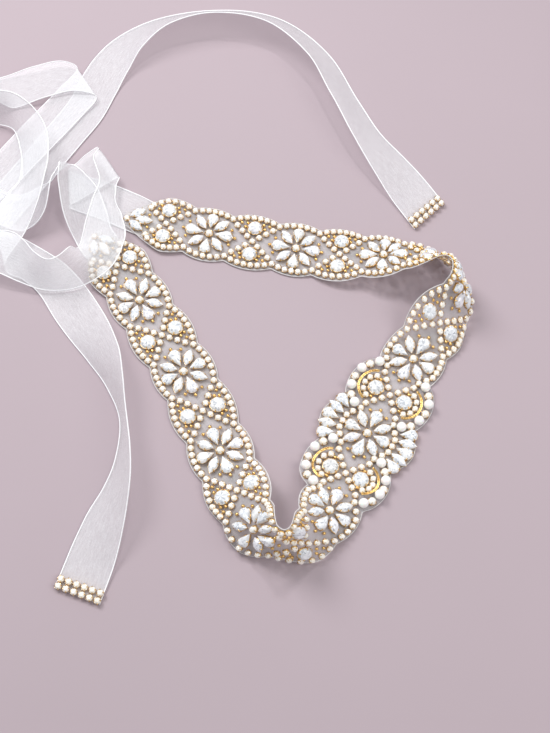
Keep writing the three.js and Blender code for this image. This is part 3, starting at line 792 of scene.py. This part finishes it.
class Heap:
    """Many small bodies set on strips and gathered into one mesh."""

    # Weights of the random painted facet light, from painted shade to painted highlight.
    BRIGHT_FACETS = 2.4

    def __init__(self):
        self.points = []
        self.faces = []
        self.finish = []
        self.smooth = []
        self.painted_facet_light = []
        self.tint = []
        self.count = 0

    def put(self, body, origin, axes):
        points = np.array(body.points, float) @ axes + origin
        self.points.append(points)
        self.faces.extend(tuple(i + self.count for i in face) for face in body.faces)
        self.finish.extend(body.finish)
        self.smooth.extend(body.smooth)
        # Each face gets a random painted brightness; a larger painted shade weight gives more grey
        # facets.
        self.painted_facet_light.append(chance.beta(self.BRIGHT_FACETS, body.painted_shade_weight, len(body.faces)))
        self.tint.append(np.full(len(body.faces), chance.random()))
        self.count += len(points)

    def on_strip(self, body, route, s, v, angle=0.0, side=1.0, lift=0.0):
        """Sets a body at (s, v) of a strip, turned by an angle from the strip's own direction."""
        point, along, across, normal = (part[0] for part in route.frames(s))
        origin = point + across * v + normal * side * lift
        cos, sin = math.cos(angle), math.sin(angle)
        axes = np.array([along * cos + across * sin, across * cos - along * sin, normal])
        axes[2] = np.cross(axes[0], axes[1])
        if axes[2] @ normal * side < 0:
            axes[1:] = -axes[1:]
        self.put(body, origin, axes)

    def make(self, name):
        used = [key for key in FINISHES if key in self.finish]
        mesh = mesh_from(name, np.vstack(self.points), self.faces)
        mesh.polygons.foreach_set("material_index", [used.index(key) for key in self.finish])
        mesh.polygons.foreach_set("use_smooth", self.smooth)
        for key, values in (("painted_facet_light", self.painted_facet_light), ("tint", self.tint)):
            column = mesh.attributes.new(key, "FLOAT", "FACE")
            column.data.foreach_set("value", np.concatenate(values).astype(np.float32))
        for key in used:
            mesh.materials.append(FINISHES[key])
        return piece(name, mesh)


def mesh_from(name, points, faces):
    mesh = bpy.data.meshes.new(name)
    mesh.from_pydata(((np.asarray(points) + SHIFT) * MM).tolist(), [], faces)
    mesh.update()
    return mesh


def piece(name, mesh):
    made = bpy.data.objects.new(name, mesh)
    bpy.context.scene.collection.objects.link(made)
    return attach(made, "root")


def strip_sheet(name, points, strip, material):
    """A sheet of cloth from a grid of points, with its own coordinates in millimetres."""
    rows, columns = points.shape[:2]
    index = np.arange(rows * columns).reshape(rows, columns)
    corners = [index[:-1, :-1], index[1:, :-1], index[1:, 1:], index[:-1, 1:]]
    faces = np.stack([c.ravel() for c in corners], axis=1).tolist()
    mesh = mesh_from(name, points.reshape(-1, 3), faces)
    mesh.polygons.foreach_set("use_smooth", [True] * len(faces))
    add_strip(mesh, strip.reshape(-1, 2))
    mesh.materials.append(material)
    return piece(name, mesh)


def add_strip(mesh, strip):
    column = mesh.attributes.new("strip", "FLOAT_VECTOR", "POINT")
    values = np.column_stack([strip, np.zeros(len(strip))])
    column.data.foreach_set("vector", values.astype(np.float32).ravel())


def tube(lines, radius, sides=6):
    """Points, faces and coordinates of round cords along lines of (points, across, normal)."""
    points, faces, strips, first = [], [], [], 0
    angles = 2 * math.pi * np.arange(sides) / sides
    for line, across, normal in lines:
        sideways = np.cos(angles)[None, :, None] * across[:, None]
        upward = np.sin(angles)[None, :, None] * normal[:, None]
        rings = line[:, None] + radius * (sideways + upward)
        count = len(line)
        run = np.concatenate([[0.0], np.cumsum(np.linalg.norm(np.diff(line, axis=0), axis=1))])
        strips.append(np.column_stack([np.tile(angles * radius, count), np.repeat(run, sides)]))
        points.append(rings.reshape(-1, 3))
        for i in range(count - 1):
            for j in range(sides):
                k = (j + 1) % sides
                low, high = first + i * sides, first + (i + 1) * sides
                faces.append((low + j, low + k, high + k, high + j))
        faces.append(tuple(first + j for j in reversed(range(sides))))
        faces.append(tuple(first + (count - 1) * sides + j for j in range(sides)))
        first += count * sides
    return np.vstack(points), faces, np.vstack(strips)


def cord_piece(name, lines, radius, material, sides=6):
    points, faces, strips = tube(lines, radius, sides)
    mesh = mesh_from(name, points, faces)
    mesh.polygons.foreach_set("use_smooth", [True] * len(faces))
    add_strip(mesh, strips)
    mesh.materials.append(material)
    return piece(name, mesh)


# Band

SMALL = set_stone(round_outline(SMALL_STONE, 8), 2.05, 3.2, (0, 2, 4, 6), 0.6, 0.12, "small crystal", 0.2)
HUB = set_stone(round_outline(HUB_STONE, 8), 2.6, 4.3, (0, 2, 4, 6), 0.58, 0.3, "small crystal")
# The large stones get a larger weight, so more of their facets are painted grey as painted shade.
LARGE = set_stone(round_outline(ROUND_STONE, 14), 2.6, 4.6, (0, 2, 5, 7, 9, 12), 0.58, 0.3, painted_shade_weight=1.0)
PEAR_STONE = set_stone(pear_outline(PEAR), 2.5, 4.4, (0, 3, 6, 9), 0.52)
SHORT_PEAR_STONE = set_stone(pear_outline(SHORT_PEAR), 2.5, 4.4, (0, 3, 6, 9), 0.52)
NAVETTE_STONE = set_stone(navette_outline(NAVETTE), 2.5, 4.3, (0, 2, 5, 7), 0.5)
RONDELLE = set_stone(
    round_outline(BORDER_CRYSTAL, 10), 2.5, 4.0, (1, 3, 6, 8), 0.55, 0.12, "small crystal", 0.2
)
GOLD_SEED = ball(SEED, "gold", 8, 6, 0.85)
PEARL_BEAD = ball(PEARL, "pearl", 20, 14)


def band_line(s, v, h):
    """Points of a line along the band with its across and normal directions."""
    point, _, across, normal = band.frames(s)
    line = point + across * np.reshape(v, (-1, 1)) + normal * np.reshape(h, (-1, 1))
    return line, across, normal


def make_backing():
    """The net that carries the stones, cut to their scallops, with an overcast edge."""
    STEP = 1.3
    COLUMNS = 25
    PUCKER = 0.18
    ALONG_WAVE = 0.9
    OVER_WAVE = 0.7
    EDGE_CORD = 0.26
    s = np.arange(band_start, band_end + STEP, STEP).clip(max=band_end)
    reach = backing_reach(s)
    share = np.linspace(-1, 1, COLUMNS)
    v = reach[:, None] * share
    rows = np.repeat(s, COLUMNS)
    waves = np.sin(ALONG_WAVE * rows) * np.sin(OVER_WAVE * v.ravel())
    pucker = PUCKER * waves * (1 - np.abs(np.tile(share, len(s))))
    points = band.place(rows, v.ravel(), CLOTH_HEIGHT + pucker).reshape(len(s), COLUMNS, 3)
    strip = np.stack([v, np.repeat(s[:, None], COLUMNS, axis=1)], axis=2)
    net = strip_sheet("band_net", points, strip, NET)
    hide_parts(*[f"backing_{name}" for name in BACKING_NODES])
    lines = [band_line(s, side * reach, np.full(len(s), CLOTH_HEIGHT)) for side in (1, -1)]
    edge = cord_piece("band_edge", lines, EDGE_CORD, EDGE_THREAD)


def border_stations():
    """Lengths of the border stones from the first knot to the last, evenly along each scallop."""
    pitch = REPEAT / BORDER_COUNT
    count = int(round((knot_at(KNOTS) - knot_at(1)) / pitch))
    return knot_at(1) + pitch * (np.arange(count) + 0.5)


def make_borders():
    """Rows of small stones along both edges, close round the large stones inside the pearled lobes."""
    TIP_STONES = 3
    TIP_STEP = 3.7
    LOBE_CLEAR = 20.0
    LOBE_JOIN = ((14.6, 10.2), (18.5, 12.9))
    LOBE_RING = 7.0
    LOBE_ANGLES = (-66, -33, 0, 33, 66)
    centre_knots = [knot_at(CENTRE_FLOWER), knot_at(CENTRE_FLOWER + 1)]
    inner = border_stations()
    past = TIP_STEP * (np.arange(TIP_STONES) + 0.5)
    before = knot_at(1) - past[::-1]
    after = knot_at(KNOTS) + past
    for name, side in (("left", -1), ("right", 1)):
        heap = Heap()
        for s in np.concatenate([before, inner, after]):
            if min(abs(s - at) for at in centre_knots) < LOBE_CLEAR:
                continue
            v = float(border_at(np.array([s]))[0])
            heap.on_strip(SMALL, band, s, side * v)
        for at in centre_knots:
            for lean in np.radians(LOBE_ANGLES):
                v = ROUND_OFFSET + LOBE_RING * math.cos(lean)
                heap.on_strip(SMALL, band, at + LOBE_RING * math.sin(lean), side * v)
            for end in (1, -1):
                for ahead, v in LOBE_JOIN:
                    heap.on_strip(SMALL, band, at + end * ahead, side * v)
        heap.make(f"border_{name}")


def make_flower(number):
    """Eight petals round a small stone, with gold seeds at both ends."""
    SEEDS = ((15.6, 0), (12.9, 5.0), (12.9, -5.0))
    LONG_PAIR = [(PEAR_STONE, PEAR), (NAVETTE_STONE, NAVETTE)]
    SHORT_PAIR = [(SHORT_PEAR_STONE, SHORT_PEAR), (NAVETTE_STONE, NAVETTE)]
    petals = LONG_PAIR + SHORT_PAIR
    at = repeat_at(number)
    heap = Heap()
    heap.on_strip(HUB, band, at, 0)
    for i in range(PETALS):
        angle = 2 * math.pi * i / PETALS
        stone, size = petals[i % len(petals)]
        radius = PETAL_TIP + size[0] / 2
        heap.on_strip(stone, band, at + radius * math.cos(angle), radius * math.sin(angle), angle)
    for end in (1, -1):
        for ahead, over in SEEDS:
            heap.on_strip(GOLD_SEED, band, at + end * ahead, over)
    made = heap.make(f"flower_{number:02d}_stones")
    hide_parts(f"flower_{number:02d}")


def make_knot(number):
    """Two large round stones in the notches of a crossing of two rows of small stones."""
    SEEDS = [(5.75, -86), (5.75, -58), (8.7, -72), (5.75, 58), (5.75, 86), (8.7, 72)]
    LOBE_SEEDS = [(5.75, -90), (5.75, 90)]
    pearled = number in (CENTRE_FLOWER, CENTRE_FLOWER + 1)
    at = knot_at(number)
    heap = Heap()
    for turn in (1, -1):
        for k in range(CROSS_STONES):
            along = (k - (CROSS_STONES - 1) / 2) * CROSS_PITCH
            if turn < 0 and along == 0:
                continue
            s = at + along * math.cos(CROSS_ANGLE)
            heap.on_strip(SMALL, band, s, turn * along * math.sin(CROSS_ANGLE), turn * CROSS_ANGLE)
    for out in (1, -1):
        heap.on_strip(LARGE, band, at, out * ROUND_OFFSET)
        for radius, angle in LOBE_SEEDS if pearled else SEEDS:
            lean = math.radians(angle)
            v = ROUND_OFFSET + radius * math.cos(lean)
            heap.on_strip(GOLD_SEED, band, at + radius * math.sin(lean), out * v)
    made = heap.make(f"knot_{number:02d}_stones")
    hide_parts(f"knot_{number:02d}")


def make_pearl_lobe(number, name, out):
    """Pearls and clear stones in turn round the outside of a round stone, and a gold cord inside them."""
    at = knot_at(number)
    reach_along, reach_over = PEARL_ARC
    heap = Heap()
    for i in range(PEARL_COUNT):
        lean = math.radians(PEARL_SPREAD) * (2 * i / (PEARL_COUNT - 1) - 1)
        s = at + reach_along * math.sin(lean)
        v = ROUND_OFFSET + reach_over * math.cos(lean)
        bead = PEARL_BEAD if i % 2 == 0 else RONDELLE
        heap.on_strip(bead, band, s, out * v, -out * lean)
    made = heap.make(f"pearls_{number:02d}_{name}_beads")
    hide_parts(f"pearls_{number:02d}_{name}")
    cord = make_gold_cord(f"gold_arc_{number:02d}_{name}_cord", at, out)
    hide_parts(f"gold_arc_{number:02d}_{name}")


def make_gold_cord(name, at, out):
    """Two smooth gold strands side by side along an arc."""
    POINTS = 60
    STRAND = 0.38
    RAISED = 2.2
    lean = np.radians(GOLD_SPREAD) * np.linspace(-1, 1, POINTS)
    lines = []
    for radius in (GOLD_ARC - STRAND, GOLD_ARC + STRAND):
        height = np.full(POINTS, CUP_FOOT + RAISED)
        v = out * (ROUND_OFFSET + radius * np.cos(lean))
        line, _, normal = band_line(at + radius * np.sin(lean), v, height)
        ahead = unit(np.gradient(line, axis=0))
        lines.append((line, unit(np.cross(normal, ahead)), normal))
    return cord_piece(name, lines, STRAND, GOLD, 10)


def make_fan(name, out):
    """Pears and navettes opening outward beside the centre flower."""
    heap = Heap()
    half = (FAN_STONES - 1) / 2
    for i in range(FAN_STONES):
        lean = math.radians(FAN_STEP) * (i - half)
        stone = SHORT_PEAR_STONE if i % 2 == 0 else NAVETTE_STONE
        s = centre_at + FAN_RADIUS * math.sin(lean)
        heap.on_strip(stone, band, s, out * FAN_RADIUS * math.cos(lean), out * (math.pi / 2 - lean))
    made = heap.make(f"centre_fan_{name}_stones")
    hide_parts(f"centre_fan_{name}")


def make_leaf(name, knot, inward):
    """Three navettes and a small stone that end the band."""
    SIDE_BACK, SIDE_OVER, SIDE_ANGLE = 17.4, 4.3, 32
    MIDDLE_BACK = 13.2
    BEAD_BACK = 23.6
    SEED_BACK, SEED_OVER = 10.6, 4.2
    heap = Heap()
    heap.on_strip(NAVETTE_STONE, band, knot - inward * MIDDLE_BACK, 0)
    for edge in (1, -1):
        angle = inward * edge * math.radians(SIDE_ANGLE)
        heap.on_strip(NAVETTE_STONE, band, knot - inward * SIDE_BACK, edge * SIDE_OVER, angle)
        heap.on_strip(GOLD_SEED, band, knot - inward * SEED_BACK, edge * SEED_OVER)
    heap.on_strip(SMALL, band, knot - inward * BEAD_BACK, 0)
    made = heap.make(f"leaf_{name}_stones")
    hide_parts(f"leaf_{name}")


# Ribbon tails

def make_tail(name, rows, nodes):
    """A sheer ribbon along its route, with woven selvedges and two rows of stones on its end."""
    STEP = 1.5
    COLUMNS = 21
    RIPPLE = 0.3
    LONG_WAVE, LONG_LEAN = 0.042, 2.1
    SHORT_WAVE, SHORT_LEAN, SHORT_SHARE = 0.11, 3.4, 0.6
    MIDDLE_SHARE, EDGE_SHARE = 0.4, 0.6
    route = ribbon_route(rows)
    count = int(route.length / STEP)
    s = np.linspace(0, route.length, count)
    share = np.linspace(-1, 1, COLUMNS)
    half = route.width_at(s) / 2
    v = half[:, None] * share
    phase = np.repeat(s, COLUMNS).reshape(len(s), COLUMNS)
    ripple = np.sin(LONG_WAVE * phase + LONG_LEAN * share)
    ripple = ripple + SHORT_SHARE * np.sin(SHORT_WAVE * phase - SHORT_LEAN * share)
    rise = RIPPLE * ripple * (MIDDLE_SHARE + EDGE_SHARE * np.abs(share))
    points = route.place(phase.ravel(), v.ravel(), rise.ravel()).reshape(len(s), COLUMNS, 3)
    points[:, :, 2] = np.maximum(points[:, :, 2], SELVEDGE)
    strip = np.stack([v, phase], axis=2)
    cloth = strip_sheet(f"ribbon_{name}_cloth", points, strip, ORGANZA)
    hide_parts(*[f"ribbon_{name}_{node}" for node in nodes])
    _, _, across, normal = route.frames(s)
    lines = [(points[:, column], across, normal) for column in (0, COLUMNS - 1)]
    selvedge = cord_piece(f"ribbon_{name}_selvedge", lines, SELVEDGE, SELVEDGE_THREAD)
    trim = make_trim(name, route)


def make_trim(name, route):
    """Rows of small stones across the end of a ribbon, on the side that faces up."""
    PAST_END = 0.8
    LIFT = -0.35
    heap = Heap()
    side = float(np.sign(route.frames(route.length)[3][0][2]))
    for row in range(TRIM_ROWS):
        s = route.length + PAST_END - (row + 0.5) * TRIM_ROW_STEP
        for k in range(TRIM_STONES):
            v = (k - (TRIM_STONES - 1) / 2) * TRIM_PITCH
            heap.on_strip(SMALL, route, s, v, 0.0, side, LIFT)
    made = heap.make(f"trim_{name}_stones")
    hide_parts(f"trim_{name}")
    return made


# Camera, floor and light

def make_camera():
    data = bpy.data.cameras.new("camera")
    data.lens = CAMERA_LENS
    data.sensor_width = 36.0
    data.clip_start = 0.01
    made = bpy.data.objects.new("camera", data)
    made.location = CAMERA_PLACE
    made.rotation_euler = (math.radians(CAMERA_TILT), 0, 0)
    bpy.context.scene.collection.objects.link(made)
    bpy.context.scene.camera = made


def make_floor():
    SIZE = 4.0
    mesh = bpy.data.meshes.new("floor")
    corners = [(-SIZE, -SIZE, 0), (SIZE, -SIZE, 0), (SIZE, SIZE, 0), (-SIZE, SIZE, 0)]
    mesh.from_pydata(corners, [], [(0, 1, 2, 3)])
    made_material, g, shader = new_material("pale table", Roughness=0.8)
    tone = place_group(g, MOTTLE, Light=(0.43, 0.35, 0.385, 1), Deep=(0.40, 0.33, 0.36, 1), Scale=6.0)
    g.feed(tone.outputs["Color"], shader.inputs["Base Color"])
    mesh.materials.append(made_material)
    made = bpy.data.objects.new("floor", mesh)
    made.location = (0, 0, -0.0004)
    bpy.context.scene.collection.objects.link(made)


def make_light(name, place, aim, size, power, colour=(1, 1, 1)):
    data = bpy.data.lights.new(name, "AREA")
    data.shape = "DISK"
    data.size = size
    data.energy = power
    data.color = colour
    made = bpy.data.objects.new(name, data)
    made.location = place
    made.rotation_euler = (Vector(aim) - Vector(place)).to_track_quat("-Z", "Y").to_euler()
    bpy.context.scene.collection.objects.link(made)


def make_lights():
    make_light("key", (-0.5, 0.5, 0.9), (0, 0, 0), 0.5, 9.0)
    make_light("fill", (0.8, -0.3, 0.9), (0, 0, 0), 0.7, 5.0, (1.0, 0.98, 0.95))
    make_light("sparkle", (0.1, 0.5, 1.0), (0, 0, 0), 0.12, 2.5)
    world = bpy.data.worlds.new("studio")
    world.use_nodes = True
    background = world.node_tree.nodes["Background"]
    background.inputs["Color"].default_value = (0.92, 0.94, 0.97, 1)
    background.inputs["Strength"].default_value = 0.55
    bpy.context.scene.world = world
    bpy.context.scene.view_settings.view_transform = "Standard"


make_camera()
make_floor()
make_lights()
make_backing()
make_borders()
for flower in range(1, FLOWERS + 1):
    make_flower(flower)
for knot in range(1, KNOTS + 1):
    make_knot(knot)
for side_name, side_out in (("left", -1), ("right", 1)):
    for knot in (CENTRE_FLOWER, CENTRE_FLOWER + 1):
        make_pearl_lobe(knot, side_name, side_out)
    make_fan(side_name, side_out)
make_leaf("upper", knot_at(1), 1)
make_leaf("left", knot_at(KNOTS), -1)
make_tail("upper", UPPER_TAIL, UPPER_NODES)
make_tail("left", LEFT_TAIL, LEFT_NODES)
